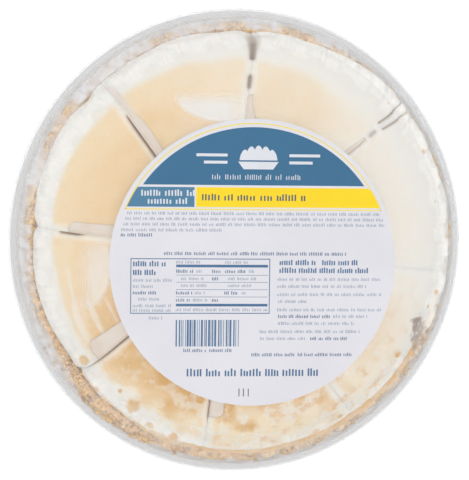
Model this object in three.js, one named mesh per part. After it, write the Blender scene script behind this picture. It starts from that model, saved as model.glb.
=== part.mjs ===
// A lemon meringue pie, cut in eight, as it is sold frozen: graham crumb crust in a foil pan,
// a toasted meringue top, a paper divider standing in each cut, and a clear fluted dome with a
// round label. Sizes are millimetres, +Z is up, and the origin is the middle of the pan's base.
import * as THREE from "three";

// ---------------------------------------------------------------- driving dimensions

const DEG = Math.PI / 180;
const ovalX = 0.98; // the tight overwrap squeezes the pack a little in X

// foil pan
const panBaseR = 98.5; // flat base
const panMouthR = 119.4; // inside of the mouth
const rimZ = 32; // top of the pan's flange
const foil = 0.5;
const flangeR = 126;
const beadR = 0.9; // rolled edge
const panSegments = 72;

// clear dome
const domeR = 128.9; // outside of the skirt, the widest part of the pack
const skirtDrop = 6.4; // the skirt hangs this far below the rim
const domeWallR = 124.4; // foot of the fluted wall
const domeCrestR = 98.8; // stacking ridge round the top panel
const domeTopZ = 74.8; // flat top panel
const sheet = 0.6;
const flutes = 36;
const fluteDepth = 1.5;
const facetsPerFlute = 4;

// round label on the top panel
const labelR = 76.5;
const labelSheet = 0.3;
const labelX = 4.1;
const labelY = -8.6;

// the cuts: eight blade angles through one centre that is a little off the pan's axis
const cutAngles = [38.3, 81.8, 125.9, 173.2, 221.3, 265, 308.5, 354.5];
const cutX = -10.5;
const cutY = -2.7;
const kerf = 1.7;
const tipGap = 2; // each slice's blunt tip stops this far from where its two cuts meet

// crumb crust
const floorZ = 7; // top of the crust's floor
const crustFloorR = 93.5;
const crustMouthR = 112;
const lipR = 121; // outer edge of the crumb lip, on the pan's flange
const lipZ = rimZ + 2.6;
const crumble = 0.8; // how uneven the crumbs leave the lip
const clear = 0.35; // gap between nested pieces

// meringue
const meringueX = 1.8; // it was spread a little off the axis
const meringueY = -0.4;
const meringueR = 115;
const meringueFoot = 2; // its lowest edge spreads this much further, over the crust's lip
const meringueEdgeZ = rimZ + 5.2;
const meringueTopZ = rimZ + 38;
const dentAngle = 334; // a slight dent in its edge
const dentDepth = 1.5;
const dentWidth = 5; // degrees
const crownFlat = 6; // superellipse powers of the crown, along its width and up its side
const crownSteep = 2.3;
const cutDrop = 1.8; // the blade rounds the meringue down at each cut
const lump = 1.1;

// paper dividers: how far each one's free edge folds over, at its inner and outer end, the side
// it folds to (+1 anticlockwise), and the radius where the strip ends. The last two stand sunk in
// their cuts, with no fold.
const paper = 0.3;
const paperStart = 20;
const paperFoot = 1.2;
const paperRise = 0.9;
const paperSunk = -2.5;
const paperFoldR = 1.5;
const paperLift = 6;
const paperFolds = [
  { inner: 3, outer: 3.5, side: 1, end: 93 },
  { inner: 5, outer: 6.2, side: -1, end: 93 },
  { inner: 7, outer: 5.5, side: -1, end: 106 },
  { inner: 6, outer: 6, side: -1, end: 96 },
  { inner: 7, outer: 10.5, side: -1, end: 100 },
  { inner: 7.5, outer: 8.2, side: 1, end: 94.5 },
  { side: 0, end: 94 },
  { side: 0, end: 94 },
];

// ---------------------------------------------------------------- small maths

const smooth = (low, high, v) => THREE.MathUtils.smoothstep(v, low, high);
const mix = THREE.MathUtils.lerp;

// The same number from -1 to 1 each time for a pair of whole numbers.
function crumb(i, j) {
  const s = Math.sin(i * 12.9898 + j * 78.233) * 43758.5453;
  return 2 * (s - Math.floor(s)) - 1;
}

// Distance from a point, along an angle, to an oval of the pack's proportions.
function reach(from, angle, radius, centreX = 0, centreY = 0) {
  const ux = (from.x - centreX) / ovalX;
  const uy = from.y - centreY;
  const dx = Math.cos(angle) / ovalX;
  const dy = Math.sin(angle);
  const dd = dx * dx + dy * dy;
  const ud = ux * dx + uy * dy;
  return (-ud + Math.sqrt(ud * ud - dd * (ux * ux + uy * uy - radius * radius))) / dd;
}

// ---------------------------------------------------------------- surfaces

// A closed surface from cross-sections: columns[j][i] is point i of section j, and every section
// is a closed loop. flat gives the same loops in the plane of the section, for the two end caps.
function capped(columns, flat) {
  const n = columns[0].length;
  const position = columns.flat().flatMap((p) => [p.x, p.y, p.z]);
  const index = [];
  for (let j = 0; j + 1 < columns.length; j++)
    for (let i = 0; i < n; i++) {
      const a = j * n + i;
      const b = j * n + ((i + 1) % n);
      index.push(a, b, b + n, a, b + n, a + n);
    }
  [0, columns.length - 1].forEach((j) => {
    const loop = flat[j];
    const turn = Math.sign(THREE.ShapeUtils.area(loop));
    for (const [a, b, c] of THREE.ShapeUtils.triangulateShape(loop, [])) {
      const same = Math.sign(THREE.ShapeUtils.area([loop[a], loop[b], loop[c]])) === turn;
      const ahead = same === (j > 0);
      index.push(j * n + a, j * n + (ahead ? b : c), j * n + (ahead ? c : b));
    }
  });
  return new THREE.BufferGeometry()
    .setAttribute("position", new THREE.Float32BufferAttribute(position, 3))
    .setIndex(outward(position, index));
}

// Turns all faces round if they enclose a negative volume.
function outward(position, index) {
  const at = (k) => new THREE.Vector3().fromArray(position, 3 * k);
  let volume = 0;
  for (let k = 0; k < index.length; k += 3)
    volume += at(index[k]).dot(at(index[k + 1]).cross(at(index[k + 2])));
  return volume > 0 ? index : index.toReversed();
}

// A turned shape from a profile of [radius, height] points, with +Z as its axis. bend moves each
// point by its angle, before the pack's oval squeeze.
function turned(profile, segments, bend = (r) => r) {
  const points = profile.map(([r, z]) => new THREE.Vector2(r, z));
  const geometry = new THREE.LatheGeometry(points, segments).rotateX(Math.PI / 2);
  const p = geometry.attributes.position;
  for (let k = 0; k < p.count; k++) {
    const r = Math.hypot(p.getX(k), p.getY(k));
    const angle = Math.atan2(p.getY(k), p.getX(k));
    const moved = r > 0 ? bend(r, angle, p.getZ(k)) : 0;
    p.setXYZ(k, ovalX * moved * Math.cos(angle), moved * Math.sin(angle), p.getZ(k));
  }
  return geometry;
}

// A line and its copy moved to its left by a sheet's thickness, as one closed outline.
function sheetProfile(line, thickness) {
  const moved = line.map(([x, y], k) => {
    const [x0, y0] = line[Math.max(k - 1, 0)];
    const [x1, y1] = line[Math.min(k + 1, line.length - 1)];
    const shift = thickness / Math.hypot(x1 - x0, y1 - y0);
    return [x - (y1 - y0) * shift, y + (x1 - x0) * shift];
  });
  return [...line, ...moved.reverse()];
}

// ---------------------------------------------------------------- pan

function panGeometry() {
  const beadZ = rimZ - beadR;
  const bead = [200, 270, 340, 50, 90].map((turn) => [
    flangeR + beadR * (1 + Math.cos(turn * DEG)),
    beadZ + beadR * Math.sin(turn * DEG),
  ]);
  const profile = [
    [0, 0],
    [panBaseR - 2, 0],
    [panBaseR, 1],
    [panMouthR + foil, rimZ - foil],
    [flangeR, rimZ - foil],
    ...bead,
    [panMouthR, rimZ],
    [panBaseR - foil, 1.6],
    [panBaseR - 2.4, foil],
    [0, foil],
  ];
  return turned(profile, panSegments);
}

// ---------------------------------------------------------------- dome

// Grooves run down the wall from the shoulder to its foot, as wide as the panels between them.
function fluted(r, angle, z) {
  const wall = smooth(rimZ + 1.5, rimZ + 9, z) * (1 - smooth(domeTopZ - 6, domeTopZ - 0.5, z));
  const groove = 1 - smooth(-0.5, 0.5, Math.cos(flutes * angle + 45 * DEG));
  return r - fluteDepth * wall * groove;
}

function domeGeometry() {
  const outer = [
    [domeR, rimZ - skirtDrop],
    [domeR - 0.2, rimZ + 0.3],
    [domeR - 0.9, rimZ + 1],
    [domeWallR, rimZ + 1],
    [domeWallR - 3.2, rimZ + 10.5],
    [domeWallR - 9, rimZ + 26],
    [domeWallR - 13, rimZ + 34.5],
    [domeWallR - 18.6, rimZ + 40.6],
    [domeCrestR, domeTopZ + 0.6],
    [domeCrestR - 2.4, domeTopZ],
    [0, domeTopZ],
  ];
  const shell = sheetProfile(outer, sheet);
  return turned([...shell, shell[0]], flutes * facetsPerFlute, fluted);
}

// ---------------------------------------------------------------- label

function labelGeometry() {
  const base = domeTopZ;
  const top = domeTopZ + labelSheet;
  const disc = new THREE.LatheGeometry(
    [[0, base], [labelR, base], [labelR, top], [0, top]].map(([r, z]) => new THREE.Vector2(r, z)),
    panSegments,
  );
  return disc.rotateX(Math.PI / 2).translate(labelX, labelY, 0);
}

// ---------------------------------------------------------------- slices

// Slice k lies between cut k and the next. Its apex is where its two faces meet, half a kerf
// in from each cut.
function slice(k) {
  const from = cutAngles[k] * DEG;
  const to = (cutAngles[k + 1] ?? cutAngles[0] + 360) * DEG;
  const middle = (from + to) / 2;
  const back = kerf / 2 / Math.sin((to - from) / 2);
  return {
    from,
    to,
    apex: { x: cutX + back * Math.cos(middle), y: cutY + back * Math.sin(middle) },
  };
}

// A wedge of the pie: loop(angle, step) gives its section as [distance from the apex, height].
function wedge({ from, to, apex }, shares, loop) {
  const flat = shares.map((share, j) =>
    loop(mix(from, to, share), j).map(([d, z]) => new THREE.Vector2(d, z)),
  );
  const columns = flat.map((section, j) => {
    const angle = mix(from, to, shares[j]);
    return section.map(
      ({ x, y }) =>
        new THREE.Vector3(apex.x + x * Math.cos(angle), apex.y + x * Math.sin(angle), y),
    );
  });
  return capped(columns, flat);
}

const crustShares = Array.from({ length: 13 }, (_, j) => j / 12);

function crustGeometry(k) {
  const part = slice(k);
  return wedge(part, crustShares, (angle, j) => {
    const column = k * (crustShares.length - 1) + j; // neighbours share their crumbs at a cut
    const d = (radius) => reach(part.apex, angle, radius);
    const rough = (row) => crumble * crumb(column, row);
    return [
      [tipGap, foil + clear],
      [d(panBaseR - 3), foil + clear],
      [d(panMouthR - 1.5), rimZ + 0.6],
      [d(lipR + rough(1)), lipZ - 0.9 + 0.5 * rough(2)],
      [d(lipR - 1.6 + rough(3)), lipZ + 0.6 + rough(4)],
      [d(lipR - 4.4 + rough(5)), lipZ + 0.3 + rough(6)],
      [d(crustMouthR + 1 + 0.5 * rough(7)), rimZ + 1 + rough(8)],
      [d(crustMouthR - 1.2), rimZ - 2],
      [d(crustFloorR), floorZ],
      [tipGap, floorZ],
    ];
  });
}

// Low waves in the meringue's outline and top, and the dent in its outline.
function edgeWave(angle) {
  const turned = ((angle / DEG - dentAngle + 540) % 360) - 180;
  const dent = dentDepth * Math.exp(-((turned / dentWidth) ** 2));
  return lump * (0.6 * Math.sin(5 * angle + 1.2) + 0.4 * Math.sin(11 * angle + 0.5)) - dent;
}
const topWave = (x, y) => lump * 0.7 * Math.sin(x / 17 + 1) * Math.cos(y / 21 - 0.6);

const meringueShares = [0, 0.07, 0.2, 0.35, 0.5, 0.65, 0.8, 0.93, 1];
const crownSteps = 8;

// The crown is a superellipse: flat in the middle, with a steep rounded side.
function meringueLoop(part, share, angle) {
  const { apex } = part;
  const edge = reach(apex, angle, meringueR + edgeWave(angle), meringueX, meringueY);
  const rounding = cutDrop * (1 - smooth(0, 0.07, Math.min(share, 1 - share)));
  const loop = [];
  for (let i = 0; i <= crownSteps; i++) {
    const turn = (i / crownSteps) * 90 * DEG;
    const d = mix(tipGap, edge, Math.sin(turn) ** (2 / crownFlat));
    const height = Math.cos(turn) ** (2 / crownSteep);
    const wave = topWave(apex.x + d * Math.cos(angle), apex.y + d * Math.sin(angle));
    loop.push([d, mix(meringueEdgeZ, meringueTopZ + wave - rounding, height)]);
  }
  const seat = reach(apex, angle, crustMouthR - 0.8);
  loop.push([edge + meringueFoot, meringueEdgeZ - 0.3]);
  loop.push([edge + meringueFoot - 0.8, meringueEdgeZ - 0.9]);
  loop.push([seat, meringueEdgeZ - 0.9]);
  loop.push([reach(apex, angle, crustMouthR - 1.9), rimZ - 2.2]);
  loop.push([reach(apex, angle, crustFloorR - 0.6), floorZ + clear]);
  loop.push([tipGap, floorZ + clear]);
  return loop;
}

function meringueGeometry(k) {
  const part = slice(k);
  return wedge(part, meringueShares, (angle, j) => meringueLoop(part, meringueShares[j], angle));
}

// ---------------------------------------------------------------- dividers

// Height of the meringue beside a cut, at a distance from the cuts' centre.
function crownAt(distance, angle) {
  const edge = reach({ x: cutX, y: cutY }, angle, meringueR, meringueX, meringueY);
  const turn = Math.asin(Math.min(distance / edge, 1) ** (crownFlat / 2));
  return mix(meringueEdgeZ, meringueTopZ, Math.cos(turn) ** (2 / crownSteep));
}

// Height of a divider's foot beside a cut: it follows the crust's floor and then its wall.
function footAt(distance, angle) {
  const x = (cutX + distance * Math.cos(angle)) / ovalX;
  const y = cutY + distance * Math.sin(angle);
  const past = Math.max(Math.hypot(x, y) - crustFloorR, 0);
  return floorZ + paperFoot + (past * (rimZ - floorZ)) / (crustMouthR - crustFloorR);
}

// The section of a divider, from its foot in the crust up to the free edge, where the fold is
// that wide.
function paperSpine(foot, crown, fold, side) {
  const crest = crown + (side ? paperRise : paperSunk);
  const spine = [[0, foot], [0, crest]];
  if (!side) return spine;
  const flat = (90 - paperLift) * DEG;
  for (const turn of [0.4, 0.7, 1].map((share) => share * flat))
    spine.push([paperFoldR * (1 - Math.cos(turn)), crest + paperFoldR * Math.sin(turn)]);
  const [bentX, bentZ] = spine.at(-1);
  spine.push([bentX + fold * Math.sin(flat), bentZ + fold * Math.cos(flat)]);
  return spine;
}

// A paper strip stands in cut k and its free edge folds over one slice.
function dividerGeometry(k) {
  const angle = cutAngles[k] * DEG;
  const { inner, outer, side, end: endR } = paperFolds[k];
  const end = reach({ x: cutX, y: cutY }, angle, endR);
  const shares = [0, 0.3, 0.6, 0.82, 1];
  const flat = shares.map((share) => {
    const d = mix(paperStart, end, share);
    const spine = paperSpine(footAt(d, angle), crownAt(d, angle), mix(inner, outer, share), side);
    return sheetProfile(spine, paper).map(
      ([x, z]) => new THREE.Vector2((side || 1) * (x + paper / 2), z),
    );
  });
  const columns = flat.map((section, j) => {
    const d = mix(paperStart, end, shares[j]);
    return section.map(
      ({ x, y }) =>
        new THREE.Vector3(
          cutX + d * Math.cos(angle) - x * Math.sin(angle),
          cutY + d * Math.sin(angle) + x * Math.cos(angle),
          y,
        ),
    );
  });
  return capped(columns, flat);
}

// ---------------------------------------------------------------- materials and assembly

const finish = (color, roughness, metalness = 0) =>
  new THREE.MeshStandardMaterial({ color, roughness, metalness });

const foilFinish = finish(0xc9cbcd, 0.35, 1);
const crustFinish = finish(0xc08d54, 0.9);
const meringueFinish = finish(0xf1dcb6, 0.7);
const paperFinish = finish(0xece4d8, 0.8);
const labelFinish = finish(0xe9e9ee, 0.45);
const clearFinish = finish(0xf4f6f8, 0.08);
clearFinish.transparent = true;
clearFinish.opacity = 0.25;

const pie = new THREE.Group();

function add(name, geometry, material) {
  const mesh = new THREE.Mesh(geometry, material);
  mesh.name = name;
  pie.add(mesh);
}

add("pan", panGeometry(), foilFinish);
for (let k = 0; k < cutAngles.length; k++) {
  add(`crust_${k + 1}`, crustGeometry(k), crustFinish);
  add(`meringue_${k + 1}`, meringueGeometry(k), meringueFinish);
  add(`divider_${k + 1}`, dividerGeometry(k), paperFinish);
}
add("dome", domeGeometry(), clearFinish);
add("label", labelGeometry(), labelFinish);

export default pie;
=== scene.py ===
import itertools
import math

import bpy
import numpy as np
from mathutils import Matrix


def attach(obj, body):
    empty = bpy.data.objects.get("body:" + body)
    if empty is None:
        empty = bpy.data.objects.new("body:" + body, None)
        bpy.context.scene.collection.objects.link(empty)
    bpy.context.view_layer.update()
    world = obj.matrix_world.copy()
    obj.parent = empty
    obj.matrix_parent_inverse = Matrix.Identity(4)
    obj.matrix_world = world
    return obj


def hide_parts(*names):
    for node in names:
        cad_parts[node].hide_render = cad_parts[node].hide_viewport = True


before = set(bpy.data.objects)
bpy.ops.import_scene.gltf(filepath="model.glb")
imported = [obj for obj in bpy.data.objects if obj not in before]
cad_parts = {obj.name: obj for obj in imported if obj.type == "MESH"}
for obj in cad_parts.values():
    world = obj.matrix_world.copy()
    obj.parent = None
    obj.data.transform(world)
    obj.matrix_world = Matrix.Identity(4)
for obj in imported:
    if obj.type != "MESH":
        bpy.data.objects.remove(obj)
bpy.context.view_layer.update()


# ---------------------------------------------------------------------------- foil pan
# A shallow round pan pressed from thin aluminium foil. The press leaves fine pleats down its
# side and a raised ring in its base, and the edge of its flange is rolled under.

MM = 0.001
OVAL = 0.98  # the tight film squeezes the pack this much in X
TURN = 2 * math.pi

FOIL = 0.25
PAN_BASE_R = 98.5
PAN_MOUTH_R = 119.4
RIM_Z = 32.0
FLANGE_R = 126.0
BEAD_R = 0.9
PLEATS = 90
PLEAT_DEPTH = 0.45
BASE_RING_R = 84.0
BASE_RING_RISE = 1.1


def smooth(low, high, x):
    """0 below low and 1 above high, with an S-shaped ramp between them."""
    t = np.clip((x - low) / (high - low), 0.0, 1.0)
    return t * t * (3 - 2 * t)


def grain(points, size, seed):
    """Value noise from -1 to 1: random numbers on a cubic lattice of that size, blended between
    its corners by an S-shaped ramp in each direction."""
    scaled = np.asarray(points) / size + 19.19 * seed
    cell = np.floor(scaled).astype(np.int64)
    share = scaled - cell
    share = share * share * (3 - 2 * share)
    total = np.zeros(scaled.shape[:-1])
    for corner in itertools.product((0, 1), repeat=3):
        x, y, z = np.moveaxis(cell + corner, -1, 0)
        mixed = (x * 73856093) ^ (y * 19349663) ^ (z * 83492791)
        mixed = ((mixed ^ (mixed >> 13)) * 1274126177) & 0x7FFFFFFF
        value = ((mixed ^ (mixed >> 15)) & 0xFFFF) / 32767.5 - 1
        total += value * np.prod(np.where(corner, share, 1 - share), axis=-1)
    return total


def rounded(corners, cut, steps=5):
    """A line through corners, each of them replaced by a parabola that leaves the line cut
    before it and joins it cut after it, or at most at the middle of the stretch."""
    corners = np.asarray(corners, dtype=float)
    line = [corners[:1]]
    t = np.linspace(0, 1, steps + 1)[:, None]
    for before, corner, after in zip(corners, corners[1:], corners[2:]):
        reach_in = min(cut / np.linalg.norm(before - corner), 0.5)
        reach_out = min(cut / np.linalg.norm(after - corner), 0.5)
        start = corner + (before - corner) * reach_in
        end = corner + (after - corner) * reach_out
        line.append((1 - t) ** 2 * start + 2 * t * (1 - t) * corner + t * t * end)
    line.append(corners[-1:])
    return np.concatenate(line)


def spaced(line, count):
    """The same line as count points at even steps along it."""
    steps = np.linalg.norm(np.diff(line, axis=0), axis=1)
    along = np.concatenate([[0], np.cumsum(steps)])
    even = np.linspace(0, along[-1], count)
    return np.stack([np.interp(even, along, axis) for axis in line.T], axis=-1)


def both_sides(line, thickness):
    """A line's two faces: the line moved half a sheet's thickness to its right and to its left."""
    ahead = np.gradient(line, axis=0)
    ahead /= np.linalg.norm(ahead, axis=1, keepdims=True)
    left = np.stack([-ahead[:, 1], ahead[:, 0]], axis=-1)
    return line - left * thickness / 2, line + left * thickness / 2


def spun(line, angles, bend):
    """A line of (radius, height) turned about +Z and squeezed in X to the pack's oval: a grid of
    points whose radius and height bend changes by angle."""
    radius, height = bend(line[:, :1], line[:, 1:], angles)
    height = np.broadcast_to(height, radius.shape)
    return np.stack([OVAL * radius * np.cos(angles), radius * np.sin(angles), height], axis=-1)


def solid(name, grids, material, flat=False, tints=None):
    """A mesh object in metres from grids of points in millimetres. Neighbours along a grid's two
    directions are joined by quads, points that coincide are welded, and a quad that the weld
    narrows to a line is left out. Faces are turned outwards by the sign of the volume. Each of
    tints gives the first points a value, kept as an attribute that is 0 elsewhere."""
    quads, start = [], 0
    for grid in grids:
        index = start + np.arange(grid.shape[0] * grid.shape[1]).reshape(grid.shape[:2])
        start += index.size
        square = [index[:-1, :-1], index[1:, :-1], index[1:, 1:], index[:-1, 1:]]
        quads.append(np.stack(square, axis=-1).reshape(-1, 4))
    points = np.concatenate([grid.reshape(-1, 3) for grid in grids])
    keys = np.round(points * 1e4).astype(np.int64)
    _, first, welded = np.unique(keys, axis=0, return_index=True, return_inverse=True)
    points = points[first] * MM
    quads = welded.reshape(-1)[np.concatenate(quads)]
    a, b, c, d = points[quads].transpose(1, 0, 2)
    volume = np.sum(np.cross(b - a, c - a) * a) + np.sum(np.cross(c - a, d - a) * a)
    if volume < 0:
        quads = quads[:, ::-1]
    fresh = quads != np.roll(quads, 1, axis=1)
    corners = fresh.sum(axis=1)
    keep = corners >= 3
    loops = quads[keep][fresh[keep]]
    totals = corners[keep]
    mesh = bpy.data.meshes.new(name)
    mesh.vertices.add(len(points))
    mesh.vertices.foreach_set("co", points.ravel())
    mesh.loops.add(len(loops))
    mesh.loops.foreach_set("vertex_index", loops)
    mesh.polygons.add(len(totals))
    mesh.polygons.foreach_set("loop_start", np.concatenate([[0], np.cumsum(totals)[:-1]]))
    mesh.polygons.foreach_set("use_smooth", np.full(len(totals), not flat))
    mesh.update(calc_edges=True)
    mesh.validate()
    for tint, values in (tints or {}).items():
        spread = np.zeros(start)
        spread[:values.size] = values.ravel()
        mesh.attributes.new(tint, "FLOAT", "POINT").data.foreach_set("value", spread[first])
    mesh.materials.append(material)
    piece = bpy.data.objects.new(name, mesh)
    bpy.context.scene.collection.objects.link(piece)
    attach(piece, "root")
    return piece


class Value:
    """A node's output. Arithmetic on it adds Math nodes to the same material."""

    def __init__(self, finish, socket):
        self.finish = finish
        self.socket = socket

    def math(self, operation, *others):
        inputs = dict(enumerate(others))
        return self.finish.add("Math", {"operation": operation}, inputs)

    def __add__(self, other):
        return self.math("ADD", self, other)

    def __mul__(self, other):
        return self.math("MULTIPLY", self, other)

    def __sub__(self, other):
        return self.math("SUBTRACT", self, other)

    def __rsub__(self, other):
        return self.math("SUBTRACT", other, self)

    def __pow__(self, other):
        return self.math("POWER", self, other)

    __radd__ = __add__
    __rmul__ = __mul__

    def ramp(self, low, high):
        """0 at low and 1 at high, with an S-shaped ramp between them."""
        setting = {"interpolation_type": "SMOOTHSTEP"}
        return self.finish.add("MapRange", setting, {0: self, 1: low, 2: high})


class Finish:
    """A procedural material on Object coordinates, in metres."""

    def __init__(self, name):
        self.material = bpy.data.materials.new(name)
        self.material.use_nodes = True
        self.tree = self.material.node_tree
        self.tree.nodes.clear()
        self.out = self.tree.nodes.new("ShaderNodeOutputMaterial")
        self.place = self.add("TexCoord", output="Object")
        split = self.add("SeparateXYZ", inputs={0: self.place})
        self.x, self.y, self.z = (Value(self, s) for s in split.socket.node.outputs)

    def add(self, kind, settings=None, inputs=None, output=0):
        """One node: its settings are made first, then each socket gets its value or link."""
        node = self.tree.nodes.new("ShaderNode" + kind)
        for key, value in (settings or {}).items():
            setattr(node, key, value)
        for key, value in (inputs or {}).items():
            if isinstance(value, Value):
                self.tree.links.new(value.socket, node.inputs[key])
            else:
                node.inputs[key].default_value = value
        return Value(self, node.outputs[output])

    def noise(self, size, detail, roughness=0.5):
        """Noise from 0 to 1 with blotches of about size millimetres."""
        scale = (1 / (size * MM),) * 3
        placed = self.add("Mapping", inputs={"Vector": self.place, "Scale": scale})
        inputs = {"Vector": placed, "Scale": 1.0, "Detail": detail, "Roughness": roughness}
        return self.add("TexNoise", inputs=inputs)

    def blend(self, first, second, share):
        """One colour fading into another by share."""
        return self.add("Mix", {"data_type": "RGBA"}, {0: share, 6: first, 7: second}, output=2)

    def bump(self, height, depth):
        """A normal for relief of depth millimetres."""
        return self.add("Bump", inputs={"Height": height, "Distance": depth * MM, "Strength": 1.0})

    def vector(self, *parts):
        """A vector from up to three numbers or values."""
        return self.add("CombineXYZ", inputs=dict(enumerate(parts)))

    def length(self, vector):
        """How long a vector is."""
        return self.add("VectorMath", {"operation": "LENGTH"}, {0: vector}, output="Value")

    def mix(self, first, second, share):
        """One shader fading into another by share."""
        return self.add("MixShader", inputs={0: share, 1: first, 2: second})

    def show(self, shader):
        """Ends the material with its shader."""
        self.tree.links.new(shader.socket, self.out.inputs["Surface"])
        return self.material

    def body(self, **sockets):
        """Ends the material with a principled shader. Underscores stand for spaces in the names
        of its sockets."""
        inputs = {name.replace("_", " "): value for name, value in sockets.items()}
        return self.show(self.add("BsdfPrincipled", inputs=inputs))


def paint(red, green, blue):
    """A colour given as 0 to 255 on a screen, as the linear value that a shader takes."""
    parts = [c / 255 for c in (red, green, blue)]
    return (*(c / 12.92 if c <= 0.04045 else ((c + 0.055) / 1.055) ** 2.4 for c in parts), 1.0)


def foil_finish():
    """Bright foil with the faint crinkles of handling."""
    foil = Finish("foil")
    crinkle = foil.noise(9, detail=4, roughness=0.6)
    fine = foil.noise(1.6, detail=2)
    return foil.body(
        Base_Color=foil.blend(paint(213, 209, 205), paint(236, 232, 228), crinkle),
        Metallic=0.45, Roughness=0.3 + 0.2 * fine,
        Normal=foil.bump(crinkle + 0.25 * fine, 0.5))


def pleated(radius, height, angle):
    """Pleats down the side wall that fade at the base and under the flange."""
    wall = smooth(2, 9, height) * (1 - smooth(RIM_Z - 7, RIM_Z - 2, height))
    wave = np.abs(((angle / TURN * PLEATS) % 1) - 0.5) * 2
    flange = 0.12 * smooth(PAN_MOUTH_R, FLANGE_R, radius) * np.cos(angle * PLEATS)
    return radius - PLEAT_DEPTH * wall * wave, height + flange * (height > RIM_Z - 1)


bead_turn = np.radians(np.linspace(90, -150, 9))
bead = np.stack([
    FLANGE_R + BEAD_R + (BEAD_R - FOIL / 2) * np.cos(bead_turn),
    RIM_Z - BEAD_R + (BEAD_R - FOIL / 2) * np.sin(bead_turn),
], axis=-1)
base_z = FOIL / 2
pan_line = rounded([
    (0, base_z), (BASE_RING_R, base_z), (BASE_RING_R + 1.5, base_z + BASE_RING_RISE),
    (BASE_RING_R + 6, base_z + BASE_RING_RISE), (BASE_RING_R + 7.5, base_z),
    (PAN_BASE_R - 0.6, base_z), (PAN_MOUTH_R + 0.2, RIM_Z - FOIL / 2),
    (FLANGE_R + BEAD_R, RIM_Z - FOIL / 2),
], cut=0.9)
pan_line = np.concatenate([pan_line[:-1], bead])
wall_start = np.argmax(pan_line[:, 0] > PAN_BASE_R + 1.5)
wall_fill = np.linspace(pan_line[wall_start - 1], pan_line[wall_start], 14)[1:-1]
pan_line = np.insert(pan_line, wall_start, wall_fill, axis=0)
pan_outer, pan_inner = both_sides(pan_line, FOIL)
pan_outer[0, 0] = pan_inner[0, 0] = 0
pan_shell = np.concatenate([pan_outer, pan_inner[::-1]])
pan = solid("pan_foil", [spun(pan_shell, np.linspace(0, TURN, PLEATS * 8 + 1), pleated)],
            foil_finish())
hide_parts("pan")


# ---------------------------------------------------------------------------- crumb crust
# Graham crumbs and fat pressed into the pan, one crust to a slice, with a crumbly uneven lip on
# the pan's flange. Loose crumbs have fallen on the flange and along the lip.

CUTS = np.radians([38.3, 81.8, 125.9, 173.2, 221.3, 265.0, 308.5, 354.5])
CUT_CENTRE = np.array([-10.5, -2.7])
KERF = 1.7
TIP_R = 25.0
TIP_GAP = 2.0
CRUST_FLOOR_Z = 7.0
CRUST_FLOOR_R = 93.5
CRUST_MOUTH_R = 112.0
LIP_R = 121.0
LIP_Z = RIM_Z + 2.6
CRUST_COLUMNS = 130
CRUMB_CLOSE = 0.65
# Round the pie, anticlockwise: how much further out than LIP_R the lip's crumbs lie.
LIP_WANDER = np.array([
    (0, 1.2), (60, 0.6), (90, 0), (150, 0.7), (180, -1.8), (220, -1.0), (232, 1.3), (330, 1.3)])


def reach(start, angle, radius):
    """How far a ray from start runs at an angle before it meets the pack's oval of a radius: the
    greater root of a quadratic."""
    x, y = start[0] / OVAL, start[1]
    dx, dy = np.cos(angle) / OVAL, np.sin(angle)
    dd, ud = dx * dx + dy * dy, x * dx + y * dy
    return (-ud + np.sqrt(ud * ud - dd * (x * x + y * y - radius * radius))) / dd


class Slice:
    """One of the eight pieces: its two cut angles, columns of angles that crowd towards the
    cuts, and the apex where its two faces would meet."""

    def __init__(self, k, columns):
        self.start = CUTS[k]
        self.end = CUTS[(k + 1) % 8] + (TURN if k == 7 else 0)
        share = (1 - np.cos(np.linspace(0, math.pi, columns))) / 2
        self.angles = self.start + (self.end - self.start) * share
        middle = (self.start + self.end) / 2
        back = KERF / 2 / math.sin((self.end - self.start) / 2)
        self.apex = CUT_CENTRE + back * np.array([math.cos(middle), math.sin(middle)])

    def points(self, distance, height):
        """A grid of points from distances along each column and heights."""
        x = self.apex[0] + distance * np.cos(self.angles)
        y = self.apex[1] + distance * np.sin(self.angles)
        return np.stack([x, y, np.broadcast_to(height, x.shape)], axis=-1)

    def lofted(self, line):
        """A line of (radius, height) carried round the slice. What lies within TIP_R is its
        blunt tip."""
        radius, height = line[:, 0][:, None], line[:, 1][:, None]
        distance = reach(self.apex, self.angles[None, :], np.maximum(radius, TIP_R))
        return self.points(np.where(radius < TIP_R, TIP_GAP, distance), height)

    def from_cuts(self, points):
        """Distance from each point to the slice's first cut face, and to its second."""
        x, y = points[..., 0] - self.apex[0], points[..., 1] - self.apex[1]
        first = y * math.cos(self.start) - x * math.sin(self.start)
        second = x * math.sin(self.end) - y * math.cos(self.end)
        return first, second

    def closed_up(self, points, push, depth):
        """Moves what lies within depth of a cut towards that cut, at most by a push."""
        first, second = self.from_cuts(points)
        first_push = push * (1 - smooth(0, depth, first))
        second_push = push * (1 - smooth(0, depth, second))
        moved = points.copy()
        moved[..., 0] += first_push * math.sin(self.start) - second_push * math.sin(self.end)
        moved[..., 1] += second_push * math.cos(self.end) - first_push * math.cos(self.start)
        return moved


def at_angle(table, angle):
    """Each further column of a table whose first is an angle in degrees, read off at angle."""
    return [np.interp(angle, table[:, 0], column, period=360) for column in table[:, 1:].T]


def slab(upper, lower):
    """The closed skin between two grids of the same size: both of them, joined at their first
    and last rows, and two strips that shut the sides."""
    ring = np.concatenate([upper, lower[::-1], upper[:1]])
    near = np.stack([lower[:, 0], upper[:, 0]], axis=1)
    far = np.stack([upper[:, -1], lower[:, -1]], axis=1)
    return [ring, near, far]


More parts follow.
